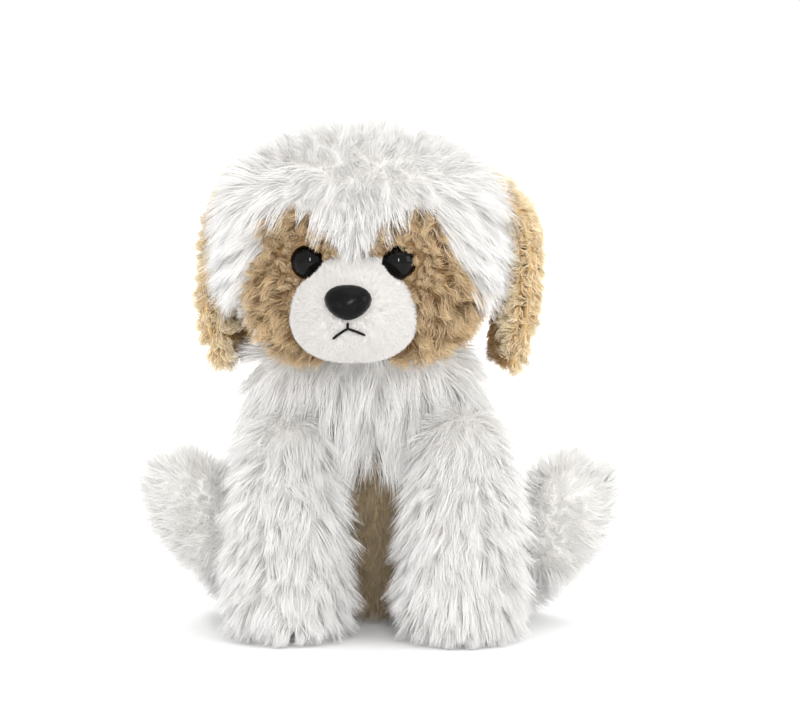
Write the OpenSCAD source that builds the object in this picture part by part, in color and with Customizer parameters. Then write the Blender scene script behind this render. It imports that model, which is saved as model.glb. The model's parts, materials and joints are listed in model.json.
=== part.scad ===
// Seated plush puppy: fur covers sewn over loose stuffing, with moulded eyes and nose.
// Millimetres, +Z up. The dog faces -Y, so its left is +X.
// The origin is in the middle of the flat seat, on the surface that the toy sits on.

/* [Fabric] */
// Thickness of the long white fur fabric, backing and pile
long_pile = 12; // [9:0.5:14]
// Thickness of the short fur on the hind legs
leg_pile = 9; // [7:0.5:11]
// Thickness of the curly tan fabric round the eyes
curly_pile = 8; // [6:0.5:10]
// Thickness of the clipped fabric on the muzzle
clipped_pile = 2.4; // [1.8:0.2:3.2]
// Thickness of the woven backing behind the pile
backing = 1.5; // [1:0.1:2]
// Gap left between neighbouring pieces
seam_gap = 0.4; // [0.3:0.05:0.6]

/* [Torso] */
// Width of the torso at its widest, low on the seat
seat_width = 138; // [126:1:148]
// Depth of the torso at its widest
seat_depth = 104; // [98:1:112]
// How far the seat curls in under the torso
seat_tuck = 10; // [6:1:14]
// Height of the widest level of the torso
belly_height = 32; // [26:1:38]
// Width of the chest
chest_width = 127; // [120:1:134]
// Depth of the chest
chest_depth = 88; // [82:1:94]
// Height of the chest
chest_height = 95; // [90:1:100]
// How far the chest lies in front of the seat
chest_forward = 15; // [10:1:20]
// Width of the neck
neck_width = 117; // [110:1:122]
// Depth of the neck
neck_depth = 82; // [79:1:86]
// Height of the neck seam
neck_height = 142; // [138:1:146]
// How far the neck lies in front of the seat
neck_forward = 29; // [26:1:32]
// How far the neck leans to the dog's right
neck_lean = 9; // [0:1:11]
// Radius of the round neck plug that the head turns on
neck_plug_r = 37; // [34:1:39]
// Height of the neck plug above the seam
neck_plug_rise = 15; // [12:1:17]
// Width of the beige belly panel between the front legs
belly_panel_width = 34; // [28:1:36]
// Height of the top of the belly panel
belly_panel_top = 90; // [80:1:96]

/* [Head] */
// Width of the head over the fur, without the ears
head_width = 144; // [136:1:152]
// Depth of the head without the muzzle
head_depth = 116; // [110:1:122]
// Height of the crown above the middle of the head
crown_rise = 59; // [55:1:63]
// Depth of the jaw below the middle of the head
jaw_drop = 66; // [62:1:70]
// Height of the middle of the head
head_middle = 200; // [196:1:204]
// How far the middle of the head lies in front of the seat
head_forward = 46; // [42:1:50]
// Squareness of the head, where 2 is an ellipsoid
head_square = 2.5; // [2.2:0.1:2.8]

/* [Muzzle] */
// Width of the muzzle
muzzle_width = 65; // [60:1:70]
// Height of the muzzle
muzzle_height = 50; // [46:1:54]
// Height of the middle of the muzzle
muzzle_middle = 169.5; // [167:0.5:172]
// How far the muzzle stands out of the stuffed head
muzzle_length = 54; // [48:1:58]
// How far the bridge of the muzzle reaches up between the eyes
bridge_rise = 9; // [6:1:12]
// Diameter of the mouth thread
thread_d = 1.6; // [1.2:0.1:2]
// Width of the stitched mouth
mouth_width = 16; // [12:1:20]

/* [Eyes and nose] */
// Diameter of an eye
eye_d = 18; // [15:0.5:20]
// Height of an eye's dome
eye_dome = 7; // [6:0.5:8]
// Distance between the eyes
eye_spacing = 46; // [43:1:50]
// Height of the eyes
eye_height = 195; // [193:1:198]
// Outward turn of the eyes
eye_turn = 20; // [14:1:26]
// Diameter of the shank behind an eye or the nose
shank_d = 4; // [3:0.5:5]
// Length of the shank
shank_length = 9; // [7:0.5:11]
// Diameter of the locking washer on a shank
washer_d = 10; // [8:0.5:11]
// Thickness of the locking washer
washer_t = 1.6; // [1.2:0.1:2.4]
// Width of the nose
nose_width = 24; // [20:1:28]
// Height of the nose
nose_height = 18; // [15:1:21]
// How far the nose stands out of the muzzle
nose_rise = 8.5; // [7:0.5:10]
// Height of the middle of the nose
nose_middle = 179; // [178.5:0.5:181]

/* [Ears] */
// Length of a hanging ear
ear_length = 97; // [90:1:102]
// Width of an ear from front to back
ear_width = 52; // [44:1:56]
// Thickness of the ear's fur side
ear_thickness = 8; // [6:0.5:9]
// Thickness of the ear's smooth lining
lining_thickness = 2; // [1.6:0.1:2.6]
// Height of the ear seam
ear_seam_height = 230; // [227:1:233]
// How far the ear lies behind the middle of the head
ear_back = 26; // [22:1:30]
// How far the left ear bulges out over the side of the head
ear_bulge_left = 16; // [12:1:20]
// How far the right ear bulges out, which lies flatter
ear_bulge_right = 7; // [6:1:11]
// Radius of the rolled seam that an ear hinges on
ear_roll_r = 4; // [3:0.5:5]

/* [Front legs] */
// Width of a front leg at the paw
leg_width = 68; // [62:1:70]
// Depth of a front leg at the paw
leg_depth = 70; // [64:1:74]
// Distance between the front legs' middles
leg_spacing = 88; // [84:1:92]
// How far the front paws' middles lie in front of the seat
paw_forward = 69; // [66:1:74]
// Height of the shoulder
shoulder_height = 95; // [92:1:100]
// How far the shoulder lies in front of the seat
shoulder_forward = 54; // [51:1:57]
// Radius of the round shoulder that a front leg swings on
shoulder_r = 27; // [25:1:29]

/* [Hind legs] */
// Radius of the round haunch that a hind leg turns on
haunch_r = 32; // [30:1:33]
// Distance between the haunches' middles
haunch_spacing = 126; // [124:1:130]
// Length of a hind foot
foot_length = 77; // [72:1:82]
// Width of a hind foot
foot_width = 58; // [54:1:62]
// Thickness of a hind foot from sole to top
foot_thickness = 50; // [44:1:54]
// How far the foot's middle lies outside the haunch
foot_out = 31; // [28:1:34]
// How far the foot's middle lies in front of the haunch
foot_ahead = 20; // [16:1:24]
// Height of the foot's middle
foot_middle = 56; // [53:1:59]
// Outward tilt of the left toes
foot_tilt_left = 24; // [16:1:30]
// Outward tilt of the right toes
foot_tilt_right = 34; // [26:1:40]
// Diameter of the clipped sole
sole_d = 46; // [38:1:50]

/* [Tail] */
// Length of the tail
tail_length = 62; // [50:1:72]
// Radius of the round root that the tail wags on
tail_r = 15; // [13:1:17]
// Height of the tail's root
tail_height = 36; // [32:1:42]

/* [Seat filling] */
// Diameter of the pellet pouch that weighs the seat
pouch_d = 52; // [44:1:54]
// Thickness of the pellet pouch
pouch_t = 20; // [16:1:24]

/* [Hidden] */
$fn = 48;

white_fur = [0.93, 0.92, 0.90];
tan_fur = [0.76, 0.62, 0.42];
tan_lining = [0.60, 0.42, 0.22];
beige_fur = [0.62, 0.54, 0.42];
stuffing_white = [0.97, 0.97, 0.96];
black_plastic = [0.03, 0.03, 0.03];

big = 400;
torso_sides = 22;
head_sides = 24;
limb_sides = 16;
small_sides = 14;

// Places that several pieces share
neck_axis = [-neck_lean, -neck_forward, neck_height];
head_at = [-neck_lean, -head_forward, head_middle];
head_base = neck_height + seam_gap;
shoulder = [leg_spacing / 2 - 1, -shoulder_forward, shoulder_height];
haunch = [haunch_spacing / 2, 2, haunch_r - 0.5];
foot = [haunch[0] + foot_out, haunch[1] - foot_ahead, foot_middle];
tail_root = [0, seat_depth / 2 - 5, tail_height];
ear_hinge = [head_x(ear_back, ear_seam_height - head_middle) + 1, ear_back, ear_seam_height - head_middle];
ear_roll_length = ear_width * 0.62;
eye_base = [eye_spacing / 2, -head_y(eye_spacing / 2, eye_height - head_middle), eye_height - head_middle];
muzzle_root = -head_y(0, muzzle_middle - head_middle) + 9;
nose_at = [0, muzzle_y(0, nose_middle - muzzle_middle), nose_middle - head_middle];

// A number raised to a power with its sign kept
function keep_power(v, e) = sign(v) * pow(abs(v), e);

// A smooth curve through key rows, where s counts rows
function through(keys, s) =
    let (
        i = min(floor(s), len(keys) - 2),
        f = s - i,
        a = keys[max(i - 1, 0)],
        b = keys[i],
        c = keys[i + 1],
        d = keys[min(i + 2, len(keys) - 1)]
    )
    0.5 * (2 * b + (c - a) * f + (2 * a - 5 * b + 4 * c - d) * f * f + (3 * b - a - 3 * c + d) * f * f * f);

// A closed ring round centre c, in the plane of u and v
function ring(c, u, v, ru, rv, sides, square = 2) =
    [for (i = [0:sides - 1])
        let (a = 360 * (i + 0.5) / sides)
        c + u * ru * keep_power(cos(a), 2 / square) + v * rv * keep_power(sin(a), 2 / square)];

function middle(points) = [for (k = [0:2]) let (v = [for (p = points) p[k]]) (min(v) + max(v)) / 2];

function unit(v) = v / norm(v);

// A closed form through rings of equal size, with its ends closed
module loft(rings) {
    n = len(rings[0]);
    m = len(rings);
    points = [for (r = rings) each r, middle(rings[0]), middle(rings[m - 1])];
    sides = [for (k = [0:m - 2], i = [0:n - 1])
        let (a = k * n + i, b = k * n + (i + 1) % n)
        each [[a, a + n, b + n], [a, b + n, b]]];
    first = [for (i = [0:n - 1]) [m * n, i, (i + 1) % n]];
    last = [for (i = [0:n - 1]) [m * n + 1, (m - 1) * n + (i + 1) % n, (m - 1) * n + i]];
    polyhedron(points, concat(sides, first, last));
}

// The left piece, or its mirror image for the right
module on_side(side) {
    if (side == "left") children();
    else mirror([1, 0, 0]) children();
}

// A ball whose poles are turned away from the seams that cut it
module ball(r, turn) {
    rotate(turn) rotate(-90) sphere(r);
}

module above_floor() {
    intersection() {
        children();
        translate([-big / 2, -big / 2, 0]) cube(big);
    }
}

module at_head() {
    translate(head_at) children();
}

// Torso

torso_keys = [
    [0, seat_width / 2 - seat_tuck, seat_depth / 2 - seat_tuck, 0],
    [belly_height, seat_width / 2, seat_depth / 2, 0],
    [chest_height, chest_width / 2, chest_depth / 2, -chest_forward],
    [neck_height, neck_width / 2, neck_depth / 2, -neck_forward]
];

function torso_row(s, inset) =
    let (k = through(torso_keys, s))
    [inset + k[0] * (neck_height - inset) / neck_height, k[1] - inset, k[2] - inset, k[3]];

function torso_rings(inset, sides) = concat(
    [for (s = [0:0.375:3.01])
        let (k = torso_row(s, inset))
        ring([-neck_lean * k[0] / neck_height, k[3], k[0]], [1, 0, 0], [0, 1, 0], k[1], k[2], sides)],
    [for (a = [0, 25, 50, 72])
        let (r = (neck_plug_r - inset) * cos(a), z = neck_height + (neck_plug_rise - inset / 2) * sin(a))
        ring([neck_axis[0], neck_axis[1], z], [1, 0, 0], [0, 1, 0], r, r, sides)]
);

// Round seats that the limbs are sewn into
module limb_seats(clear) {
    for (side = ["left", "right"]) on_side(side) {
        translate(shoulder) ball(shoulder_r + clear, [90, 0, 0]);
        translate(haunch) ball(haunch_r + clear, [0, 90, 0]);
    }
    translate(tail_root) ball(tail_r + clear, [90, 0, 0]);
}

module torso_fill(clear) {
    difference() {
        loft(torso_rings(long_pile + clear, torso_sides - 4));
        limb_seats(seam_gap + backing + clear);
    }
}

module belly_window(clear) {
    translate([0, 0, belly_panel_width / 2 + 7])
        rotate([90, 0, 0])
            linear_extrude(big / 2)
                hull() {
                    circle(belly_panel_width / 2 - clear, $fn = 24);
                    translate([0, belly_panel_top - belly_panel_width - 7]) circle(belly_panel_width / 2 - clear, $fn = 24);
                }
}

module torso_cover() {
    color(white_fur)
        difference() {
            loft(torso_rings(0, torso_sides));
            torso_fill(0);
            limb_seats(seam_gap);
            belly_window(0);
        }
}

module belly_panel() {
    color(beige_fur)
        intersection() {
            difference() {
                loft(torso_rings(long_pile - curly_pile, torso_sides - 4));
                torso_fill(0);
                limb_seats(seam_gap);
            }
            belly_window(seam_gap);
        }
}

module pouch_form(clear) {
    translate([0, 0, long_pile + pouch_t / 2 + 4])
        rotate_extrude() {
            intersection() {
                translate([pouch_d / 2 - pouch_t / 2, 0]) circle(pouch_t / 2 + clear);
                translate([0, -pouch_t]) square([pouch_d, 2 * pouch_t]);
            }
            translate([0, -pouch_t / 2 - clear]) square([pouch_d / 2 - pouch_t / 2, pouch_t + 2 * clear]);
        }
}

module torso_stuffing() {
    color(stuffing_white)
        difference() {
            torso_fill(seam_gap);
            pouch_form(seam_gap);
        }
}

module pellet_pouch() {
    color(beige_fur) pouch_form(0);
}

// Head, in its own place with the middle of the head at the origin

function head_x(y, z) =
    let (c = z > 0 ? crown_rise : jaw_drop, e = head_square)
    head_width / 2 * pow(max(0, 1 - pow(abs(y) / (head_depth / 2), e) - pow(abs(z) / c, e)), 1 / e);

// Depth of the stuffed head in front of its middle, under the fur
function head_y(x, z) =
    let (c = (z > 0 ? crown_rise : jaw_drop) - long_pile, e = head_square)
    (head_depth / 2 - long_pile)
        * pow(max(0, 1 - pow(abs(x) / (head_width / 2 - long_pile), e) - pow(abs(z) / c, e)), 1 / e);

function head_rings(inset, base, sides) =
    let (
        e = head_square,
        low = min(head_middle - base, 0.97 * (jaw_drop - inset)),
        start = -asin(pow(low / (jaw_drop - inset), e / 2)),
        levels = 11
    )
    [for (k = [0:levels])
        let (
            a = start + (84 - start) * k / levels,
            c = a > 0 ? crown_rise - inset : jaw_drop - inset,
            z = k == 0 ? -low : c * keep_power(sin(a), 2 / e),
            s = pow(max(0, 1 - pow(abs(z) / c, e)), 1 / e)
        )
        ring([0, 0, z], [1, 0, 0], [0, 1, 0], (head_width / 2 - inset) * s, (head_depth / 2 - inset) * s, sides, e)];

// The round pocket under the head that turns on the neck plug
module neck_pocket(clear) {
    translate(neck_axis - head_at)
        rotate_extrude()
            intersection() {
                polygon(concat(
                    [[0, -20], [neck_plug_r + clear, -20]],
                    [for (a = [0:15:90]) [(neck_plug_r + clear) * cos(a), (neck_plug_rise + clear) * sin(a)]]
                ));
                translate([0, -20]) square([neck_plug_r * 2, 40]);
            }
}

module head_fill(clear) {
    difference() {
        loft(head_rings(long_pile + clear, head_base + backing + clear, head_sides - 4));
        neck_pocket(seam_gap + backing + clear);
    }
}

// Outline of a tan patch: brow, eye and cheek, seen from the front
module patch_window(clear) {
    brow = [30, -1];
    cheek = [40, -34];
    rotate([90, 0, 0])
        linear_extrude(big / 2)
            hull() {
                translate(brow) circle(19 - clear, $fn = 24);
                translate(cheek) circle(20 - clear, $fn = 24);
            }
}

module patch_windows(clear) {
    for (side = ["left", "right"]) on_side(side) patch_window(clear);
}

module cheek_patch(side) {
    color(tan_fur)
        at_head()
            on_side(side)
                difference() {
                    intersection() {
                        loft(head_rings(long_pile - curly_pile, head_base, head_sides - 4));
                        patch_window(seam_gap);
                    }
                    head_fill(0);
                    muzzle_form(0, seam_gap);
                    eye_place() eye_opening(seam_gap);
                    neck_pocket(seam_gap);
                }
}

module head_cover() {
    color(white_fur)
        at_head()
            difference() {
                loft(head_rings(0, head_base, head_sides));
                head_fill(0);
                neck_pocket(seam_gap);
                patch_windows(0);
                muzzle_form(0, seam_gap);
                for (side = ["left", "right"]) on_side(side) {
                    eye_place() eye_opening(seam_gap);
                    ear_roll(seam_gap);
                }
            }
}

module head_stuffing() {
    color(stuffing_white)
        at_head()
            difference() {
                head_fill(seam_gap);
                for (side = ["left", "right"]) on_side(side) eye_place() {
                    eye_form(seam_gap);
                    washer_form(seam_gap, backing);
                }
            }
}

// Muzzle

// Front of the muzzle at x and at z above its middle
function muzzle_y(x, z) =
    let (
        e = 2.5,
        h = muzzle_height / 2,
        k = pow(max(0, 1 - pow(abs(x) / (muzzle_width / 2), e) - pow(abs(z) / h, e)), 1 / e)
    )
    muzzle_root - muzzle_length * k;

function muzzle_rings(inset, grow, sides) =
    let (e = 2.5, levels = 8)
    [for (k = [0:levels])
        let (
            a = 84 * k / levels,
            y = muzzle_root - (muzzle_length - inset + grow) * pow(sin(a), 2 / e),
            s = pow(cos(a), 2 / e),
            rise = bridge_rise * pow(cos(a), 3)
        )
        [for (p = ring([0, y, 0], [1, 0, 0], [0, 0, 1],
                (muzzle_width / 2 - inset + grow) * s, (muzzle_height / 2 - inset + grow) * s, sides, e))
            [p[0] * (1 - 0.35 * max(0, p[2]) / muzzle_height * s), p[1],
                p[2] + max(0, p[2]) / muzzle_height * 2 * rise + muzzle_middle - head_middle]]];

module muzzle_form(inset, grow) {
    intersection() {
        loft(muzzle_rings(inset, grow, head_sides - 4));
        translate([-big / 2, -big / 2, head_base + inset - grow - head_middle]) cube(big);
    }
}

module muzzle_cover() {
    color(white_fur)
        at_head()
            difference() {
                muzzle_form(0, 0);
                muzzle_form(clipped_pile, 0);
                head_fill(0);
                nose_place() nose_form(seam_gap);
                for (side = ["left", "right"]) on_side(side) eye_place() eye_opening(seam_gap);
            }
}

module muzzle_stuffing() {
    color(stuffing_white)
        at_head()
            difference() {
                muzzle_form(clipped_pile + seam_gap, 0);
                head_fill(0);
                for (side = ["left", "right"]) on_side(side) eye_place() eye_opening(clipped_pile);
                nose_place() {
                    nose_form(seam_gap);
                    washer_form(seam_gap, clipped_pile);
                }
            }
}

// A thread that lies along points on the muzzle
module thread(path) {
    n = len(path);
    loft([for (i = [0:n - 1])
        let (
            t = unit(path[min(i + 1, n - 1)] - path[max(i - 1, 0)]),
            u = unit(cross(t, [0, 1, 0])),
            v = cross(t, u)
        )
        ring(path[i], u, v, thread_d / 2, thread_d / 2, 8)]);
}

function on_muzzle(x, z) = [x, muzzle_y(x, z) - thread_d * 0.15, z + muzzle_middle - head_middle];

module mouth_stitch() {
    corner = -2;
    drop = 6.5;
    reach = mouth_width / 2;
    color(black_plastic)
        at_head() {
            thread([for (t = [0:0.25:1]) on_muzzle(0, corner + 2.4 * (1 - t))]);
            thread([for (t = [-1:0.25:1]) on_muzzle(reach * t, corner - drop * pow(abs(t), 1.4))]);
        }
}

// Eyes and nose, drawn along +Z with the fabric's backing at zero

module eye_place() {
    translate(eye_base) rotate([90, 0, eye_turn]) translate([0, 0, backing]) children();
}

module nose_place() {
    translate(nose_at) rotate([90, 0, 0]) rotate([-22, 0, 0]) children();
}

module shank(clear) {
    translate([0, 0, -shank_length]) cylinder(r = shank_d / 2 + clear, h = shank_length + 0.5);
}

module eye_form(clear) {
    curve = (pow(eye_d / 2, 2) + pow(eye_dome, 2)) / (2 * eye_dome);
    rotate_extrude()
        intersection() {
            translate([0, eye_dome - curve]) circle(curve + clear);
            square([eye_d, eye_dome + clear]);
        }
    translate([0, 0, -clear]) cylinder(r = eye_d / 2 + clear, h = clear + 0.8);
    shank(clear);
}

// The parted fur round an eye
module eye_opening(clear) {
    translate([0, 0, -clear]) cylinder(r = eye_d / 2 + clear, h = long_pile * 2);
    shank(clear);
}

// A toothed washer pushed on a shank behind the fabric
module washer_form(clear, fabric) {
    top = -fabric - 2.6;
    translate([0, 0, top - washer_t - clear])
        difference() {
            cylinder(r = washer_d / 2 + clear, h = washer_t + 2 * clear);
            if (clear == 0) translate([0, 0, -1]) cylinder(r = shank_d / 2 + 0.05, h = washer_t + 2);
        }
}

module eye(side) {
    color(black_plastic) at_head() on_side(side) eye_place() eye_form(0);
}

module eye_washer(side) {
    color("white") at_head() on_side(side) eye_place() washer_form(0, backing);
}

// A nose that is wide above and narrow below, rounded over
module nose_form(clear) {
    levels = 6;
    e = 2.3;
    loft([for (k = [0:levels])
        let (a = 82 * k / levels, s = pow(cos(a), 2 / e))
        [for (p = ring([0, 0, (nose_rise + clear) * pow(sin(a), 2 / e) - (k == 0 ? clear : 0)],
                [1, 0, 0], [0, 1, 0], (nose_width / 2 + clear) * s, (nose_height / 2 + clear) * s, 20, e))
            [p[0] * (1 + 0.45 * (p[1] < 0 ? p[1] / nose_height : 0)), p[1], p[2]]]]);
    shank(clear);
}

module nose() {
    nostril = nose_width * 0.1;
    color(black_plastic)
        at_head()
            nose_place()
                difference() {
                    nose_form(0);
                    for (x = [-1, 1])
                        translate([x * nose_width * 0.22, -nose_height * 0.2, nose_rise + nostril * 0.25])
                            sphere(nostril);
                }
}

module nose_washer() {
    color("white") at_head() nose_place() washer_form(0, clipped_pile);
}

// Ears

ear_keys = [
    [0, 0, 0.29, 0, 0.44],
    [0.92, -0.21, 0.46, 4, 0.95],
    [1, -0.46, 0.5, 10, 1],
    [0.7, -0.73, 0.47, 18, 1],
    [0.42, -0.97, 0.28, 22, 0.75]
];

function bulge_of(side) = side == "left" ? ear_bulge_left : ear_bulge_right;

function ear_mid(s, bulge) =
    let (k = through(ear_keys, s))
    [ear_hinge[0] + bulge * k[0], ear_hinge[1], ear_hinge[2] + ear_length * k[1]];

function ear_rings(from, to, bulge, sides) =
    [for (s = [0:0.5:4.01])
        let (
            t = unit(ear_mid(min(s + 0.1, 4), bulge) - ear_mid(max(s - 0.1, 0), bulge)),
            n = [-t[2], 0, t[0]],
            k = through(ear_keys, s),
            along = [0, cos(k[3]), 0] + n * sin(-k[3]),
            out = cross(along, t),
            lift = (from + to) / 2 * k[4]
        )
        ring(ear_mid(s, bulge) + n * lift, along, -out, ear_width * k[2], abs(to - from) / 2 * k[4], sides, 2.6)];

module ear_roll(clear) {
    translate(ear_hinge + [0, -ear_roll_length / 2 - clear, 0])
        rotate([-90, 0, 0]) cylinder(r = ear_roll_r + clear, h = ear_roll_length + 2 * clear);
}

// Fur side of an ear, hung from the rolled seam
module ear_fur(side) {
    color(tan_fur)
        at_head()
            on_side(side)
                difference() {
                    union() {
                        loft(ear_rings(0.2, ear_thickness, bulge_of(side), small_sides));
                        ear_roll(0);
                    }
                    ear_lining_form(seam_gap, side);
                    difference() {
                        loft(head_rings(-seam_gap, head_base, head_sides));
                        ear_roll(seam_gap);
                    }
                }
}

module ear_lining_form(clear, side) {
    loft(ear_rings(0.2 + clear, -lining_thickness - clear, bulge_of(side), small_sides));
}

module ear_lining(side) {
    color(tan_lining)
        at_head()
            on_side(side)
                difference() {
                    ear_lining_form(0, side);
                    ear_roll(seam_gap);
                    loft(head_rings(-seam_gap, head_base, head_sides));
                }
}

// Front legs

leg_keys = [
    [0, leg_width / 2 - 4, leg_depth / 2 - 4, -paw_forward],
    [14, leg_width / 2, leg_depth / 2, -paw_forward],
    [52, leg_width / 2 - 1, leg_depth / 2 - 3, 3 - paw_forward],
    [84, leg_width / 2 - 4, leg_depth / 2 - 7, -shoulder_forward - 5],
    [112, leg_width / 2 - 14, leg_depth / 2 - 17, -shoulder_forward - 1]
];

function leg_rings(inset, sides) =
    [for (s = [0:0.5:4.01])
        let (k = through(leg_keys, s), z = inset + k[0] * (leg_keys[4][0] - 2 * inset) / leg_keys[4][0])
        ring([leg_spacing / 2, k[3], z], [1, 0, 0], [0, 1, 0], k[1] - inset, k[2] - inset, sides)];

module leg_form(inset, side) {
    difference() {
        on_side(side) loft(leg_rings(inset, inset > 0 ? small_sides : limb_sides));
        loft(torso_rings(-seam_gap - inset, torso_sides));
    }
    if (inset == 0) on_side(side) translate(shoulder) ball(shoulder_r, [90, 0, 0]);
}

module front_leg_cover(side) {
    color(white_fur)
        difference() {
            leg_form(0, side);
            leg_form(long_pile, side);
        }
}

module front_leg_stuffing(side) {
    color(stuffing_white) leg_form(long_pile + 2 * seam_gap, side);
}

// Hind legs

function tilt_of(side) = side == "left" ? foot_tilt_left : foot_tilt_right;
function foot_up(tilt) = [sin(tilt), 0, cos(tilt)];
function foot_across(tilt) = unit([cos(tilt), 0.45, -sin(tilt)]);
function foot_back(tilt) = cross(foot_up(tilt), foot_across(tilt));

function foot_rings(inset, tilt, sides) =
    [for (k = [0:8])
        let (a = -84 + 168 * k / 8, s = pow(cos(a), 0.85))
        ring(foot + foot_up(tilt) * (foot_length / 2 - inset) * keep_power(sin(a), 0.85),
            foot_across(tilt), foot_back(tilt),
            (foot_width / 2 - inset) * s, (foot_thickness / 2 - inset) * s, sides)];

module hind_form(inset, side) {
    above_floor() {
        on_side(side) translate(haunch) ball(haunch_r - inset, [0, 90, 0]);
        difference() {
            on_side(side) loft(foot_rings(inset, tilt_of(side), inset > 0 ? small_sides : limb_sides));
            loft(torso_rings(-3 * seam_gap - inset, torso_sides));
        }
    }
}

module sole_window(clear, side) {
    u = foot_across(tilt_of(side));
    v = foot_up(tilt_of(side));
    w = -foot_back(tilt_of(side));
    translate(foot + w * 6)
        multmatrix([
            [u[0], v[0], w[0], 0],
            [u[1], v[1], w[1], 0],
            [u[2], v[2], w[2], 0]
        ])
            cylinder(r = sole_d / 2 - clear, h = big / 4, $fn = 12);
}

module hind_leg_cover(side) {
    color(white_fur)
        difference() {
            hind_form(0, side);
            hind_form(leg_pile, side);
            on_side(side) sole_window(0, side);
        }
}

module hind_sole(side) {
    color(white_fur)
        difference() {
            on_side(side)
                intersection() {
                    loft(foot_rings(leg_pile / 2, tilt_of(side), small_sides));
                    sole_window(seam_gap, side);
                }
            hind_form(leg_pile, side);
        }
}

module hind_leg_stuffing(side) {
    color(stuffing_white) hind_form(leg_pile + 2 * seam_gap, side);
}

// Tail

tail_keys = [
    [0, 0, 0.72],
    [0.4, 0.05, 0.9],
    [0.72, 0.24, 0.88],
    [0.92, 0.5, 0.66],
    [1, 0.66, 0.22]
];

function tail_point(s) =
    let (k = through(tail_keys, s))
    tail_root + [0, k[0] * tail_length, k[1] * tail_length];

function tail_rings(inset, sides) =
    [for (s = [0:0.5:4.01])
        let (
            t = unit(tail_point(min(s + 0.1, 4)) - tail_point(max(s - 0.1, 0))),
            r = tail_r * through(tail_keys, s)[2] * (1 - inset / tail_r / 1.1)
        )
        ring(tail_point(s * (1 - inset / 100)), [-1, 0, 0], cross([1, 0, 0], t), r, r, sides)];

module tail_form(inset) {
    translate(tail_root) ball(tail_r - inset, [90, 0, 0]);
    loft(tail_rings(inset, small_sides - 2));
}

module tail_cover() {
    color(white_fur)
        difference() {
            tail_form(0);
            tail_form(leg_pile);
        }
}

module tail_stuffing() {
    color(stuffing_white) tail_form(leg_pile + 2.2 * seam_gap);
}

torso_cover();
belly_panel();
torso_stuffing();
pellet_pouch();
head_cover();
head_stuffing();
cheek_patch("left");  // cheek_patch_left
cheek_patch("right");  // cheek_patch_right
muzzle_cover();
muzzle_stuffing();
mouth_stitch();
eye("left");  // eye_left
eye("right");  // eye_right
eye_washer("left");  // eye_washer_left
eye_washer("right");  // eye_washer_right
nose();
nose_washer();
ear_fur("left");  // ear_left_fur
ear_lining("left");  // ear_left_lining
ear_fur("right");  // ear_right_fur
ear_lining("right");  // ear_right_lining
front_leg_cover("left");  // front_leg_left_cover
front_leg_stuffing("left");  // front_leg_left_stuffing
front_leg_cover("right");  // front_leg_right_cover
front_leg_stuffing("right");  // front_leg_right_stuffing
hind_leg_cover("left");  // hind_leg_left_cover
hind_leg_stuffing("left");  // hind_leg_left_stuffing
hind_sole("left");  // hind_sole_left
hind_leg_cover("right");  // hind_leg_right_cover
hind_leg_stuffing("right");  // hind_leg_right_stuffing
hind_sole("right");  // hind_sole_right
tail_cover();
tail_stuffing();
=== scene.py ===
import json
import math
import bpy
import bmesh
import numpy as np
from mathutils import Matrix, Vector
from mathutils.bvhtree import BVHTree

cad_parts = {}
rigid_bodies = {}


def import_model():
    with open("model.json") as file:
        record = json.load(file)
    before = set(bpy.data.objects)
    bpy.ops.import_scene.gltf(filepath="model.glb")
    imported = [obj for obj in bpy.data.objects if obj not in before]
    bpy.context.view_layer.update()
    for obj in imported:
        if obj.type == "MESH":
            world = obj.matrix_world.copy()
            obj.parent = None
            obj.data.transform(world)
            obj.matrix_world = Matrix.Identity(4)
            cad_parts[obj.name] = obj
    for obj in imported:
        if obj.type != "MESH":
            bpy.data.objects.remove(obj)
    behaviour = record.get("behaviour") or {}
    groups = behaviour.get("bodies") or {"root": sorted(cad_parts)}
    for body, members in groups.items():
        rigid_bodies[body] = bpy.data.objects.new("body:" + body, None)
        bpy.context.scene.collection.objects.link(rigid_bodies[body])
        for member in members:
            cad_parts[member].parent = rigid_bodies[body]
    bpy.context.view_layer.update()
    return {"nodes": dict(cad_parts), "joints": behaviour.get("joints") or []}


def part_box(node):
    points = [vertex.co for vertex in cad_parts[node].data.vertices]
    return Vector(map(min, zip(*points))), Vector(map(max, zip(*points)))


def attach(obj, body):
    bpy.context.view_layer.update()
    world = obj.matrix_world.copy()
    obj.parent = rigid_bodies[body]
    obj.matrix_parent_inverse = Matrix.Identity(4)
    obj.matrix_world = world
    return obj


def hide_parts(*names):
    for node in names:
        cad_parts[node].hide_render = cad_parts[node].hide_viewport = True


for old in list(bpy.data.objects):
    bpy.data.objects.remove(old)
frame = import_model()
nodes = frame["nodes"]
jointPlaces = {j["name"]: np.array(j["pos_m"]) for j in frame["joints"]}
scene = bpy.context.scene
mm = 0.001
sides = ("left", "right")
print("frame loaded,", len(nodes), "nodes")


# meshes in and out of arrays

def evaluated(obj):
    graph = bpy.context.evaluated_depsgraph_get()
    return bpy.data.meshes.new_from_object(obj.evaluated_get(graph))


def newObject(name, mesh):
    obj = bpy.data.objects.new(name, mesh)
    scene.collection.objects.link(obj)
    return obj


def finished(name, bm):
    bmesh.ops.recalc_face_normals(bm, faces=bm.faces)
    mesh = bpy.data.meshes.new(name)
    bm.to_mesh(mesh)
    bm.free()
    mesh.shade_smooth()
    return newObject(name, mesh)


def coords(mesh):
    co = np.zeros(len(mesh.vertices) * 3, np.float32)
    mesh.vertices.foreach_get("co", co)
    return co.reshape(-1, 3).astype(float)


def normalsOf(mesh):
    no = np.zeros(len(mesh.vertices) * 3, np.float32)
    mesh.vertices.foreach_get("normal", no)
    return no.reshape(-1, 3).astype(float)


def setCoords(mesh, co):
    mesh.vertices.foreach_set("co", co.astype(np.float32).ravel())
    mesh.update()


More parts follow.
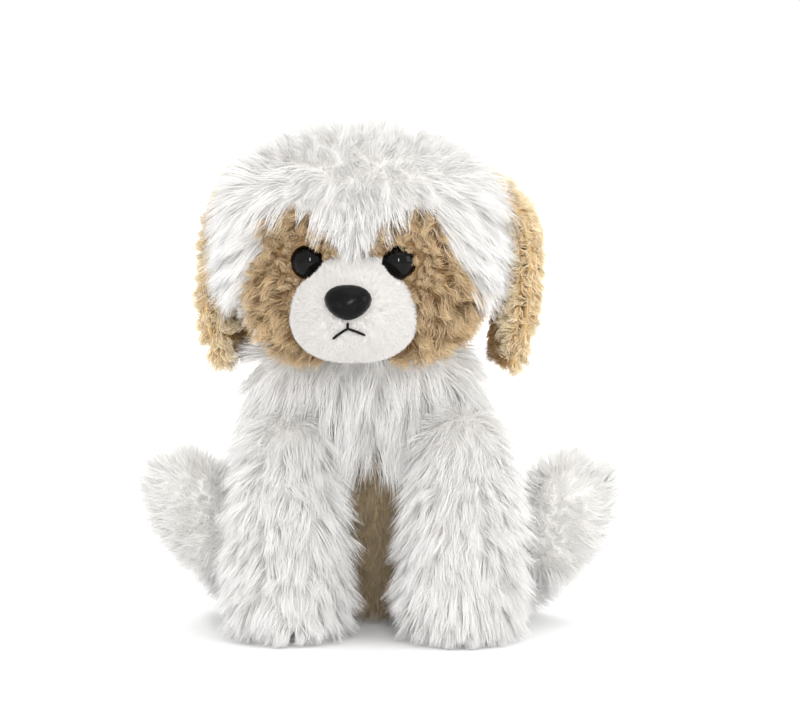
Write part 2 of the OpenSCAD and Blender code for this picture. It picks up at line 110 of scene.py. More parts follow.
def setAttr(mesh, name, values, kind="FLOAT"):
    a = mesh.attributes.get(name) or mesh.attributes.new(name, kind, "POINT")
    field = "vector" if kind == "FLOAT_VECTOR" else "value"
    a.data.foreach_set(field, np.asarray(values, np.float32).ravel())


# places and masks on a skin

def unitRows(v):
    return v / np.maximum(np.linalg.norm(v, axis=1, keepdims=True), 1e-9)


def ramp(x, low, high):
    t = np.clip((x - low) / (high - low), 0, 1)
    return t * t * (3 - 2 * t)


def fade(x, edge):    # a ramp whose two ends are in millimetres
    return ramp(x, edge[0] * mm, edge[1] * mm)


def between(x, edge):
    return (x > edge[0] * mm) & (x < edge[1] * mm)


def inSurface(v, no):    # the way of v along the surface
    return unitRows(v - no * np.sum(v * no, axis=1, keepdims=True))


def combTo(no, pull=(0, 0, -1.0)):
    return inSurface(np.tile(np.array(pull, float), (len(no), 1)), no)


def surfaceOf(names):
    verts, faces = [], []
    for n in names:
        base = len(verts)
        verts += [v.co.copy() for v in nodes[n].data.vertices]
        faces += [[base + i for i in p.vertices] for p in nodes[n].data.polygons]
    return BVHTree.FromPolygons(verts, faces)


def distanceTo(co, names):
    tree = surfaceOf(names)
    return np.array([tree.find_nearest(Vector(p))[3] for p in co])


def boxMiddle(node):
    low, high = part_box(node)
    return np.array((low + high) / 2)


# a sewn skin: a CAD solid, closed up, rounded off and grown or drawn in
skinMaking = {"weld": 0.02 * mm, "softness": 0.5, "leastPasses": 2, "afterShare": 3}


def tallestShell(bm):
    left, shells = set(bm.verts), []
    while left:
        seed = left.pop()
        shell, todo = {seed}, [seed]
        while todo:
            for e in todo.pop().link_edges:
                for v in e.verts:
                    if v in left:
                        left.discard(v)
                        shell.add(v)
                        todo.append(v)
        shells.append(shell)
    return max(shells, key=lambda p: max(v.co.z for v in p) - min(v.co.z for v in p))


def soften(obj, passes):
    mod = obj.modifiers.new("soften", "SMOOTH")
    mod.factor = skinMaking["softness"]
    mod.iterations = passes
    mesh = evaluated(obj)
    obj.modifiers.clear()
    obj.data = mesh
    return mesh


def makeSkin(name, source, voxel, grow, passes, outerOnly=False):
    bm = bmesh.new()
    bm.from_mesh(nodes[source].data)
    bmesh.ops.remove_doubles(bm, verts=bm.verts, dist=skinMaking["weld"])
    if outerOnly:
        keep = tallestShell(bm)
        bmesh.ops.delete(bm, geom=[v for v in bm.verts if v not in keep], context="VERTS")
    mesh = bpy.data.meshes.new(name)
    bm.to_mesh(mesh)
    bm.free()
    obj = newObject(name, mesh)
    close = obj.modifiers.new("close", "REMESH")
    close.mode = "VOXEL"
    close.voxel_size = voxel * mm
    close.use_smooth_shade = True
    mesh = soften(obj, passes)
    mesh.name = name
    setCoords(mesh, coords(mesh) + normalsOf(mesh) * (grow * mm))
    soften(obj, max(skinMaking["leastPasses"], passes // skinMaking["afterShare"])).shade_smooth()
    return obj


# fur: one Geometry Nodes tree, with clumps, comb, droop, wave and curl
furInputs = {"NodeSocketFloat": ("Density", "Clump Density", "Length", "Vary", "Lift", "Comb", "Jitter",
                                 "Droop", "Clump", "Wave", "Wave Size", "Curl", "Curl Turns", "Width",
                                 "Turn"),
             "NodeSocketInt": ("Steps", "Seed"),
             "NodeSocketMaterial": ("Material",)}
strand = {"ownShare": 0.45,    # jitter of one strand beside its lock's
          "varyMiddle": 0.6, "clumpBend": 0.8, "waveRise": 1.6, "curlAxis": (0.31, 0.27, 0.91),
          "floorRise": 1.5 * mm, "taper": 0.88}


def furTree():
    tree = bpy.data.node_groups.new("fur", "GeometryNodeTree")
    face = tree.interface
    face.new_socket(name="Geometry", in_out="INPUT", socket_type="NodeSocketGeometry")
    face.new_socket(name="Geometry", in_out="OUTPUT", socket_type="NodeSocketGeometry")
    for kind, names in furInputs.items():
        for n in names:
            face.new_socket(name=n, in_out="INPUT", socket_type=kind)
    add = tree.nodes.new
    join = tree.links.new
    given = add("NodeGroupInput").outputs

    def put(sock, value):
        if hasattr(value, "is_output"):
            join(value, sock)
        else:
            sock.default_value = value

    def active(sockets, name):
        return [s for s in sockets if s.name == name and s.enabled][0]

    def calc(op, a, b=0.0):
        n = add("ShaderNodeMath")
        n.operation = op
        put(n.inputs[0], a)
        put(n.inputs[1], b)
        return n.outputs[0]

    def vec(op, a, b=None, scale=None):
        n = add("ShaderNodeVectorMath")
        n.operation = op
        put(n.inputs[0], a)
        if b is not None:
            put(n.inputs[1], b)
        if scale is not None:
            put(n.inputs["Scale"], scale)
        return n.outputs[0]

    def named(name, kind="FLOAT"):
        n = add("GeometryNodeInputNamedAttribute")
        n.data_type = kind
        n.inputs["Name"].default_value = name
        return n.outputs["Attribute"]

    def namedVec(name):
        return named(name, "FLOAT_VECTOR")

    def store(geo, name, value, kind="FLOAT"):
        n = add("GeometryNodeStoreNamedAttribute")
        n.data_type = kind
        n.domain = "POINT"
        join(geo, n.inputs["Geometry"])
        n.inputs["Name"].default_value = name
        put(active(n.inputs, "Value"), value)
        return n.outputs["Geometry"]

    def storeVec(geo, name, value):
        return store(geo, name, value, "FLOAT_VECTOR")

    def rand(kind, low, high, ident, shift):
        n = add("FunctionNodeRandomValue")
        n.data_type = kind
        put(active(n.inputs, "Min"), low)
        put(active(n.inputs, "Max"), high)
        if ident is not None:
            put(active(n.inputs, "ID"), ident)
        put(active(n.inputs, "Seed"), calc("ADD", given["Seed"], float(shift)))
        return [s for s in n.outputs if s.enabled][0]

    def randVec(ident, shift):
        return rand("FLOAT_VECTOR", (-1, -1, -1), (1, 1, 1), ident, shift)

    def scatter(density, shift):
        n = add("GeometryNodeDistributePointsOnFaces")
        n.distribute_method = "RANDOM"
        join(given["Geometry"], n.inputs["Mesh"])
        put(active(n.inputs, "Density"), calc("MULTIPLY", density, named("dens")))
        put(n.inputs["Seed"], calc("ADD", given["Seed"], float(shift)))
        return n

    # roots of the strands, each with the lock it belongs to
    roots = scatter(given["Density"], 1)
    locks = scatter(given["Clump Density"], 2)
    place = add("GeometryNodeInputPosition").outputs[0]
    near = add("GeometryNodeSampleNearest")
    near.domain = "POINT"
    join(locks.outputs["Points"], near.inputs["Geometry"])
    lockPos = add("GeometryNodeSampleIndex")
    lockPos.data_type = "FLOAT_VECTOR"
    lockPos.domain = "POINT"
    join(locks.outputs["Points"], lockPos.inputs["Geometry"])
    put(active(lockPos.inputs, "Value"), place)
    join(near.outputs["Index"], lockPos.inputs["Index"])
    geo = storeVec(roots.outputs["Points"], "sn", roots.outputs["Normal"])
    geo = storeVec(geo, "root", place)
    geo = storeVec(geo, "lock", lockPos.outputs[0])
    geo = storeVec(geo, "lockRand", randVec(near.outputs["Index"], 3))
    geo = store(geo, "lockTone", rand("FLOAT", 0.0, 1.0, near.outputs["Index"], 4))
    geo = storeVec(geo, "ownRand", randVec(None, 5))
    geo = store(geo, "rnd", rand("FLOAT", 0.0, 1.0, None, 6))

    # a straight strand on every root
    hair = add("GeometryNodeCurvePrimitiveLine")
    hair.inputs["End"].default_value = (0, 0, 1)
    cut = add("GeometryNodeResampleCurve")
    cut.mode = "COUNT"
    join(hair.outputs[0], cut.inputs["Curve"])
    join(given["Steps"], cut.inputs["Count"])
    dot = add("GeometryNodeInstanceOnPoints")
    join(geo, dot.inputs["Points"])
    join(cut.outputs[0], dot.inputs["Instance"])
    real = add("GeometryNodeRealizeInstances")
    join(dot.outputs[0], real.inputs[0])

    # which way it grows, and how far
    t = add("GeometryNodeSplineParameter").outputs["Factor"]
    sn, root, rnd = namedVec("sn"), namedVec("root"), named("rnd")
    ownJitter = calc("MULTIPLY", given["Jitter"], strand["ownShare"])
    way = vec("SCALE", sn, scale=given["Lift"])
    way = vec("ADD", way, vec("SCALE", namedVec("comb"), scale=given["Comb"]))
    way = vec("ADD", way, vec("SCALE", namedVec("lockRand"), scale=given["Jitter"]))
    way = vec("ADD", way, vec("SCALE", namedVec("ownRand"), scale=ownJitter))
    way = vec("NORMALIZE", way)
    vary = calc("MULTIPLY", calc("SUBTRACT", rnd, strand["varyMiddle"]), given["Vary"])
    share = calc("MULTIPLY", named("len"), calc("ADD", vary, 1.0))
    run = calc("MULTIPLY", calc("MULTIPLY", given["Length"], share), t)
    spot = vec("ADD", root, vec("SCALE", way, scale=run))

    # droop, pull to the lock, wave and curl
    fall = calc("MULTIPLY", calc("MULTIPLY", run, t), given["Droop"])
    spot = vec("ADD", spot, vec("SCALE", (0, 0, -1), scale=fall))
    pull = calc("MULTIPLY", calc("POWER", t, strand["clumpBend"]), given["Clump"])
    spot = vec("ADD", spot, vec("SCALE", vec("SUBTRACT", namedVec("lock"), root), scale=pull))
    noise = add("ShaderNodeTexNoise")
    noise.inputs["Scale"].default_value = 1.0
    noise.inputs["Detail"].default_value = 1.0
    up = add("ShaderNodeCombineXYZ")
    put(up.inputs[2], calc("MULTIPLY", t, strand["waveRise"]))
    put(noise.inputs["Vector"], vec("ADD", vec("SCALE", root, scale=given["Wave Size"]), up.outputs[0]))
    sway = vec("SUBTRACT", noise.outputs["Color"], (0.5, 0.5, 0.5))
    spot = vec("ADD", spot, vec("SCALE", sway, scale=calc("MULTIPLY", run, given["Wave"])))
    side = vec("NORMALIZE", vec("CROSS_PRODUCT", way, strand["curlAxis"]))
    other = vec("CROSS_PRODUCT", way, side)
    turns = calc("ADD", calc("MULTIPLY", t, given["Curl Turns"]), named("lockTone"))
    angle = calc("MULTIPLY", turns, math.tau)
    spring = vec("ADD", vec("SCALE", side, scale=calc("COSINE", angle)),
                 vec("SCALE", other, scale=calc("SINE", angle)))
    spot = vec("ADD", spot, vec("SCALE", spring, scale=calc("MULTIPLY", t, given["Curl"])))

    # no strand goes under the floor
    apart = add("ShaderNodeSeparateXYZ")
    join(spot, apart.inputs[0])
    above = add("ShaderNodeCombineXYZ")
    join(apart.outputs[0], above.inputs[0])
    join(apart.outputs[1], above.inputs[1])
    join(calc("MAXIMUM", apart.outputs[2], calc("MULTIPLY", rnd, strand["floorRise"])), above.inputs[2])
    move = add("GeometryNodeSetPosition")
    join(real.outputs[0], move.inputs["Geometry"])
    join(above.outputs[0], move.inputs["Position"])

    # a flat ribbon, tapered and turned by chance
    twist = add("GeometryNodeSetCurveNormal")
    twist.mode = "FREE"
    join(move.outputs[0], twist.inputs["Curve"])
    flatWay = vec("NORMALIZE", vec("CROSS_PRODUCT", way, sn))
    flatWay = vec("ADD", flatWay, vec("SCALE", namedVec("ownRand"), scale=given["Turn"]))
    put(active(twist.inputs, "Normal"), vec("NORMALIZE", flatWay))
    geo = store(twist.outputs[0], "furT", t)
    flat = add("GeometryNodeCurvePrimitiveLine")
    flat.inputs["Start"].default_value = (-0.5, 0, 0)
    flat.inputs["End"].default_value = (0.5, 0, 0)
    taper = calc("SUBTRACT", 1.0, calc("MULTIPLY", calc("POWER", t, 2.0), strand["taper"]))
    solid = add("GeometryNodeCurveToMesh")
    join(geo, solid.inputs["Curve"])
    join(flat.outputs[0], solid.inputs["Profile Curve"])
    put(solid.inputs["Scale"], calc("MULTIPLY", given["Width"], taper))
    done = add("GeometryNodeRealizeInstances")
    join(solid.outputs[0], done.inputs[0])
    smooth = add("GeometryNodeSetShadeSmooth")
    join(done.outputs[0], smooth.inputs[0])
    dye = add("GeometryNodeSetMaterial")
    join(smooth.outputs[0], dye.inputs["Geometry"])
    join(given["Material"], dye.inputs["Material"])
    join(dye.outputs[0], add("NodeGroupOutput").inputs[0])
    return tree


fur = furTree()
furSockets = {s.name: s.identifier for s in fur.interface.items_tree if s.in_out == "INPUT"}
roughFur = {"Density": 0.35, "Width": 1.6}


def growFur(name, skin, look, material, seed, dens, comb, length=1.0):
    base = newObject(name + ".base", skin.data.copy())
    setAttr(base.data, "dens", dens)
    setAttr(base.data, "len", np.ones(len(dens)) * length)
    setAttr(base.data, "comb", comb, "FLOAT_VECTOR")
    mod = base.modifiers.new("fur", "NODES")
    mod.node_group = fur
    for key, value in look.items():
        mod[furSockets[key]] = value * roughFur[key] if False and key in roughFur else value
    mod[furSockets["Seed"]] = seed
    mod[furSockets["Material"]] = paint[material]
    mesh = evaluated(base)
    bpy.data.objects.remove(base)
    for a in ("dens", "len", "comb", "sn", "root", "lock", "lockRand", "ownRand"):
        if mesh.attributes.get(a):
            mesh.attributes.remove(mesh.attributes[a])
    mesh.name = name
    obj = newObject(name, mesh)
    if not mesh.materials:
        mesh.materials.append(paint[material])
    print(name, len(mesh.polygons) * 2, "triangles")
    return obj


# materials
clothGrain = {"detail": 4, "strength": 0.6}
plasticGrain = {"detail": 2, "strength": 0.5}
mottleScale = 45


def furTone():
    g = bpy.data.node_groups.new("furTone", "ShaderNodeTree")
    face = g.interface
    for n in ("Root", "Tip"):
        face.new_socket(name=n, in_out="INPUT", socket_type="NodeSocketColor")
    for n in ("Vary", "Mottle"):
        face.new_socket(name=n, in_out="INPUT", socket_type="NodeSocketFloat")
    face.new_socket(name="Color", in_out="OUTPUT", socket_type="NodeSocketColor")
    add, link = g.nodes.new, g.links.new
    given, end = add("NodeGroupInput"), add("NodeGroupOutput")

    def attribute(name):
        n = add("ShaderNodeAttribute")
        n.attribute_name = name
        return n.outputs["Fac"]

    def calc(op, a, b):
        n = add("ShaderNodeMath")
        n.operation = op
        for k, v in enumerate((a, b)):
            if hasattr(v, "is_output"):
                link(v, n.inputs[k])
            else:
                n.inputs[k].default_value = v
        return n.outputs[0]

    blend = add("ShaderNodeMix")
    blend.data_type = "RGBA"
    link(attribute("furT"), blend.inputs["Factor"])
    link(given.outputs["Root"], blend.inputs["A"])
    link(given.outputs["Tip"], blend.inputs["B"])
    place = add("ShaderNodeTexCoord")
    spots = add("ShaderNodeTexNoise")
    spots.inputs["Scale"].default_value = mottleScale
    link(place.outputs["Object"], spots.inputs["Vector"])
    chance = calc("SUBTRACT", calc("ADD", attribute("rnd"), attribute("lockTone")), 1.0)
    strands = calc("MULTIPLY", chance, given.outputs["Vary"])
    cloud = calc("MULTIPLY", calc("SUBTRACT", spots.outputs["Fac"], 0.5), given.outputs["Mottle"])
    tone = add("ShaderNodeHueSaturation")
    link(blend.outputs["Result"], tone.inputs["Color"])
    link(calc("ADD", calc("ADD", strands, cloud), 1.0), tone.inputs["Value"])
    link(tone.outputs["Color"], end.inputs["Color"])
    return g


toneGroup = furTone()


def newMaterial(name, values):
    m = bpy.data.materials.new(name)
    m.use_nodes = True
    shader = m.node_tree.nodes["Principled BSDF"]
    for key, value in values.items():
        shader.inputs[key].default_value = value
    return m, m.node_tree, shader


def addBump(t, shader, scale, depth, detail, strength):
    place = t.nodes.new("ShaderNodeTexCoord")
    grain = t.nodes.new("ShaderNodeTexNoise")
    grain.inputs["Scale"].default_value = scale
    grain.inputs["Detail"].default_value = detail
    t.links.new(place.outputs["Object"], grain.inputs["Vector"])
    bump = t.nodes.new("ShaderNodeBump")
    bump.inputs["Strength"].default_value = strength
    bump.inputs["Distance"].default_value = depth * mm
    t.links.new(grain.outputs["Fac"], bump.inputs["Height"])
    t.links.new(bump.outputs["Normal"], shader.inputs["Normal"])


def furMaterial(name, root, tip, vary, mottle):
    m, t, shader = newMaterial(name, {"Roughness": 0.8, "Specular IOR Level": 0.15, "Sheen Weight": 0.15,
                                      "Sheen Roughness": 0.5})
    tone = t.nodes.new("ShaderNodeGroup")
    tone.node_tree = toneGroup
    tone.inputs["Root"].default_value = (*root, 1)
    tone.inputs["Tip"].default_value = (*tip, 1)
    tone.inputs["Vary"].default_value = vary
    tone.inputs["Mottle"].default_value = mottle
    t.links.new(tone.outputs["Color"], shader.inputs["Base Color"])
    return m


def clothMaterial(name, color, scale, depth, other=None):
    m, t, shader = newMaterial(name, {"Base Color": (*color, 1), "Roughness": 0.9, "Specular IOR Level": 0.1})
    addBump(t, shader, scale, depth, **clothGrain)
    if other:    # a second colour where the skin's tint says so: tan dye on the head, beige with painted shade on the belly
        tint = t.nodes.new("ShaderNodeAttribute")
        tint.attribute_name = "tint"
        dye = t.nodes.new("ShaderNodeMix")
        dye.data_type = "RGBA"
        dye.inputs["A"].default_value = (*color, 1)
        dye.inputs["B"].default_value = (*other, 1)
        t.links.new(tint.outputs["Fac"], dye.inputs["Factor"])
        t.links.new(dye.outputs["Result"], shader.inputs["Base Color"])
    return m


def plastic(name, color, roughness, spec=0.5, grainScale=None, grainDepth=None):
    m, t, shader = newMaterial(name, {"Base Color": (*color, 1), "Roughness": roughness,
                                      "Specular IOR Level": spec})
    if grainScale:
        addBump(t, shader, grainScale, grainDepth, **plasticGrain)
    return m


furColors = {    # root, tip, spread between strands, mottle
    "whiteFur": ((0.90, 0.885, 0.865), (0.965, 0.96, 0.95), 0.03, 0.03),
    "muzzleFur": ((0.79, 0.77, 0.75), (0.86, 0.84, 0.822), 0.03, 0.03),
    "tanFur": ((0.30, 0.17, 0.065), (0.82, 0.64, 0.40), 0.18, 0.3),
    "earTan": ((0.80, 0.60, 0.33), (0.99, 0.88, 0.66), 0.12, 0.2),
    "liningFur": ((0.36, 0.20, 0.075), (0.52, 0.32, 0.145), 0.2, 0.3),
    # beige belly pile, darkened past its beige tone to carry painted shade of the recess between the legs
    "beigeFur": ((0.38, 0.29, 0.18), (0.50, 0.40, 0.27), 0.1, 0.15)}
clothColors = {    # colour, weave scale, weave depth in mm, second colour (tan dye on the head, beige with painted shade on the belly)
    "whiteCloth": ((0.86, 0.845, 0.82), 900, 0.4),
    "muzzleCloth": ((0.78, 0.76, 0.74), 900, 0.4),
    "headCloth": ((0.86, 0.845, 0.82), 900, 0.4, (0.34, 0.215, 0.10)),
    # the belly's second colour is beige, darkened to carry painted shade of the recess between the legs
    "torsoCloth": ((0.86, 0.845, 0.82), 900, 0.4, (0.40, 0.31, 0.19)),
    "earCloth": ((0.72, 0.52, 0.27), 900, 0.4),
    "tanCloth": ((0.40, 0.25, 0.11), 900, 0.4),
    "fibre": ((0.9, 0.9, 0.89), 400, 1.0),
    "pouchCloth": ((0.62, 0.58, 0.5), 1500, 0.3),
    "threadBlack": ((0.012, 0.011, 0.011), 1800, 0.2)}
plasticColors = {    # colour, roughness, specular level, grain scale, grain depth in mm
    "eyeBlack": ((0.0015, 0.0013, 0.0013), 0.03, 0.2),
    "noseBlack": ((0.003, 0.003, 0.003), 0.24, 0.13, 1400, 0.1),
    "washerWhite": ((0.85, 0.85, 0.83), 0.45)}
paint = {}
for make, colors in ((furMaterial, furColors), (clothMaterial, clothColors), (plastic, plasticColors)):
    for name, values in colors.items():
        paint[name] = make(name, *values)
print("materials made,", len(paint))


def wear(obj, material):
    obj.data.materials.clear()
    obj.data.materials.append(paint[material])


def dress(obj, body, material, *stands, slot=None, fill=None):
    if material is not None:
        wear(obj, material)
    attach(obj, body)
    if stands:
        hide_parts(*stands)


# long pile, which the other piles start from; lengths and widths in metres, densities per square metre
longLook = {"Density": 1300000.0, "Clump Density": 19000.0, "Length": 17 * mm, "Vary": 0.55,
            "Lift": 0.8, "Comb": 0.7, "Jitter": 0.34, "Droop": 0.22, "Clump": 0.55,
            "Wave": 0.5, "Wave Size": 80.0, "Curl": 0.0, "Curl Turns": 0.0,
            "Width": 0.32 * mm, "Turn": 1.6, "Steps": 4}
shortLook = {**longLook, "Density": 1700000.0, "Clump Density": 50000.0, "Length": 12 * mm,
             "Lift": 0.9, "Comb": 0.4, "Droop": 0.05, "Clump": 0.42, "Width": 0.38 * mm}
curlLook = {**longLook, "Density": 1900000.0, "Clump Density": 36000.0, "Length": 10 * mm,
            "Lift": 0.85, "Comb": 0.4, "Jitter": 0.5, "Droop": 0.1, "Clump": 0.78, "Wave Size": 160.0,
            "Curl": 1.9 * mm, "Curl Turns": 1.0, "Width": 0.48 * mm, "Turn": 4.0, "Steps": 5}
clipLook = {**longLook, "Density": 5800000.0, "Clump Density": 300000.0, "Length": 2.0 * mm, "Vary": 0.5,
            "Lift": 1.0, "Comb": 0.45, "Jitter": 0.3, "Droop": 0.0, "Clump": 0.3,
            "Wave": 0.3, "Wave Size": 200.0, "Steps": 2}

# skins: solid, voxel and growth in mm, smoothing passes
skinSizes = {"headSkin": ("head_stuffing", 2.6, 5.0, 10),
             "muzzleSkin": ("muzzle_stuffing", 1.5, 1.6, 8),
             "torsoSkin": ("torso_stuffing", 2.8, 4.0, 8)}
for s in sides:
    skinSizes["frontLegSkin." + s] = (f"front_leg_{s}_cover", 2.6, -8.6, 10, True)    # outer shell only
for s in sides:
    skinSizes["hindLegSkin." + s] = (f"hind_leg_{s}_stuffing", 2.4, 2.4, 10)
skinSizes["tailSkin"] = ("tail_stuffing", 1.6, 1.0, 6)
for s in sides:
    skinSizes["earSkin." + s] = (f"ear_{s}_fur", 1.3, -0.9, 8)
for s in sides:
    skinSizes["earLining." + s] = (f"ear_{s}_lining", 0.8, 0.0, 4)
skins = {name: makeSkin(name, *values) for name, values in skinSizes.items()}
print("skins made,", len(skins))

# the stuffing presses out against the sewn skins: a short cloth run, held at the seams
cushion = {"quality": 5, "mass": 0.3, "tension_stiffness": 40, "compression_stiffness": 40,
           "shear_stiffness": 20, "bending_stiffness": 4, "air_damping": 4,
           "use_pressure": True, "uniform_pressure_force": 0.25, "vertex_group_mass": "seam"}
puffing = {"frames": 8, "gravity": 0.01, "least": -0.3 * mm, "most": 2.0 * mm, "floor": (5, 12),
           "seamSpread": 2.5, "leastHold": 0.02}


def seamHold(skin, spots):
    co = coords(skin.data)
    held = 1 - fade(co[:, 2], puffing["floor"])
    for reach, names in spots:
        edge = (reach, reach * puffing["seamSpread"])
        held = np.maximum(held, 1 - fade(distanceTo(co, names), edge))
    return held


def puff(seams):
    was = {}
    for name, spots in seams.items():
        skin = skins[name]
        group = skin.vertex_groups.new(name="seam")
        for i, w in enumerate(seamHold(skin, spots)):
            if w > puffing["leastHold"]:
                group.add([i], float(w), "REPLACE")
        was[name] = coords(skin.data)
        mod = skin.modifiers.new("puff", "CLOTH")
        for key, value in cushion.items():
            setattr(mod.settings, key, value)
        mod.settings.effector_weights.gravity = puffing["gravity"]
        mod.collision_settings.use_collision = False
        mod.point_cache.frame_start = 1
        mod.point_cache.frame_end = puffing["frames"]
    for f in range(1, puffing["frames"] + 1):
        scene.frame_set(f)
    for name in seams:
        skin = skins[name]
        mesh = evaluated(skin)
        skin.modifiers.clear()
        skin.vertex_groups.clear()
        skin.data = mesh
        no = normalsOf(mesh)
        out = np.sum((coords(mesh) - was[name]) * no, axis=1, keepdims=True)
        out = np.clip(out, puffing["least"], puffing["most"])
        setCoords(mesh, was[name] + no * out)
        print(name, "puffed out by up to", round(float(out.max()) / mm, 2), "mm")
    scene.frame_set(1)


seams = {"torsoSkin": ((2, ["belly_panel"]), (8, ["head_stuffing"])),
         "headSkin": ((4, ["muzzle_cover"]), (4, ["eye_left", "eye_right"]))}
for s in sides:
    seams["frontLegSkin." + s] = ((4, ["torso_stuffing"]),)
    seams["hindLegSkin." + s] = ((4, ["torso_stuffing"]), (2, [f"hind_sole_{s}"]))
puff(seams)

# torso, with the beige panel on its belly; its pile and cloth are darkened to carry painted shade of the
# recess between the legs
torso = {"fill": 0.7, "holeEdge": (-2, 1), "holes": {"front_leg_{}_swing": 27.0, "hind_leg_{}_splay": 32.0},
         "shoulderRing": (34, 46), "shoulderRise": (0, 12), "shoulderLength": 0.55,
         "panelDepth": 2.4, "panelEdge": (2, 4), "seat": (14, 22), "neck": (143, 147), "parting": -4,
         "length": 0.8, "chestLength": 0.4, "chest": (60, 110),
         "hipLength": 0.5, "hipOut": (45, 60), "hipTop": (90, 115)}
bellyLook = {**shortLook, "Length": 8 * mm, "Density": 1000000.0}
torsoSkin = skins["torsoSkin"]
co, no = coords(torsoSkin.data), normalsOf(torsoSkin.data)
x, z = co[:, 0], co[:, 2]
shown = np.ones(len(co))
shoulder = np.zeros(len(co))
for s in sides:
    for joint, radius in torso["holes"].items():
        spot = jointPlaces[joint.format(s)]
        gap = np.linalg.norm(co - spot, axis=1)
        shown *= fade(gap, [radius + e for e in torso["holeEdge"]])
        if joint.startswith("front"):
            ring = (1 - fade(gap, torso["shoulderRing"])) * fade(z - spot[2], torso["shoulderRise"])
            shoulder = np.maximum(shoulder, ring)
belly = 1 - fade(distanceTo(co - no * torso["panelDepth"] * mm, ["belly_panel"]), torso["panelEdge"])
comb = combTo(no)
hip = fade(np.abs(x), torso["hipOut"]) * (1 - fade(z, torso["hipTop"]))
length = torso["length"] + torso["chestLength"] * fade(z, torso["chest"]) + torso["hipLength"] * hip
length += torso["shoulderLength"] * shoulder    # hangs over the tops of the front legs
dens = shown * (1 - belly) * fade(z, torso["seat"]) * (1 - fade(z, torso["neck"]))
half = x > torso["parting"] * mm
for s, mask, seed in (("left", half, 11), ("right", ~half, 12)):
    piece = growFur("torsoFur." + s, torsoSkin, longLook, "whiteFur", seed, dens * mask, comb, length)
    dress(piece, "torso", None, slot="long_fur")
# darker beige pile on the belly: beige tone plus painted shade of the recess
piece = growFur("bellyFur", torsoSkin, bellyLook, "beigeFur", 13, shown * belly * (no[:, 1] < 0), comb)
dress(piece, "torso", None, "belly_panel", slot="beige_fur")
# the skin under the belly pile takes the darker beige, with painted shade of the recess
setAttr(torsoSkin.data, "tint", belly)
dress(torsoSkin, "torso", "torsoCloth", "torso_cover", slot="long_fur", fill=torso["fill"])
print("torso done")

# the muzzle's bridge is drawn in a little between the eyes
muzzle = {"fill": 0.8, "bridge": 186, "bridgeDrop": 0.1, "bridgeRise": (171, 190), "bridgeNarrow": 0.06,
          "noseGap": (0.8, 1.6), "headGap": (0.8, 1.6)}
muzzleSkin = skins["muzzleSkin"]
muzzleX = boxMiddle("muzzle_cover")[0]
co = coords(muzzleSkin.data)
co[:, 2] -= np.maximum(co[:, 2] - muzzle["bridge"] * mm, 0) * muzzle["bridgeDrop"]
narrow = 1 - muzzle["bridgeNarrow"] * fade(co[:, 2], muzzle["bridgeRise"])
co[:, 0] = muzzleX + (co[:, 0] - muzzleX) * narrow
setCoords(muzzleSkin.data, co)
muzzleFaces = [list(p.vertices) for p in muzzleSkin.data.polygons]
muzzleFront = BVHTree.FromPolygons([Vector(p) for p in co], muzzleFaces)

# head: white mop, tan patches, bare where the muzzle and eyes sit
head = {"fill": 0.75, "backing": 3.2,    # the seams lie this far under the skin
        "patchEdge": (2.2, 3.2), "eyeRim": 15, "eyeInner": 5,
        "jawEdge": (9, 11), "jawNear": 16, "jawHeight": (146, 168),
        "cheekNear": 12, "cheekOut": 15, "cheekHeight": (150, 192),
        "outHeight": (149, 159, 175, 187, 200, 219),    # how far out the tan reaches, by height
        "outLeft": (43, 58.6, 63.7, 58.6, 51, 43),
        "outRight": (41, 51, 56, 55, 49.5, 44), "outEdge": (-4.5, -3.0),
        "muzzleGap": (0.4, 1.4), "eyeGap": (1, 2), "neck": (146, 152), "eyeDense": 8}
mop = {"temple": (25, 55), "sweep": 12, "templeSweep": 14, "forward": -0.5, "templeRise": 0.45,
       "back": (0, 30), "backward": 1.4, "eyeRing": (11, 20), "eyePush": 2.5,
       "crown": (218, 242), "upright": 0.7, "length": 0.8, "sideLength": 0.25, "side": (20, 55),
       "earOut": (28, 40), "earBack": (20, 35), "earHeight": (170, 185), "earShort": 0.62,
       "eyeShort": 0.32, "patchEye": (2, 12), "mopEye": (4, 18),
       "brow": (198, 222), "browEye": (8, 18), "browRise": 3.0}
crownLook = {**longLook, "Density": 1650000.0, "Clump Density": 21000.0, "Lift": 0.7, "Comb": 0.75,
             "Jitter": 0.3, "Droop": 0.2}
headSkin = skins["headSkin"]
eyeNodes = {"eye_left": 1, "eye_right": -1}
co, no = coords(headSkin.data), normalsOf(headSkin.data)
z = co[:, 2]
away = co - boxMiddle("head_cover")
out, outMuzzle = np.abs(away[:, 0]), np.abs(co[:, 0] - muzzleX)
hits = [muzzleFront.find_nearest(Vector(p)) for p in co]
muzzleFar = np.array([h[3] for h in hits])
inMuzzle = np.array([(Vector(p) - h[0]).dot(h[1]) < 0 for p, h in zip(co, hits)])
eyeFar = distanceTo(co, list(eyeNodes))
patchFar = distanceTo(co - no * head["backing"] * mm, ["cheek_patch_left", "cheek_patch_right"])

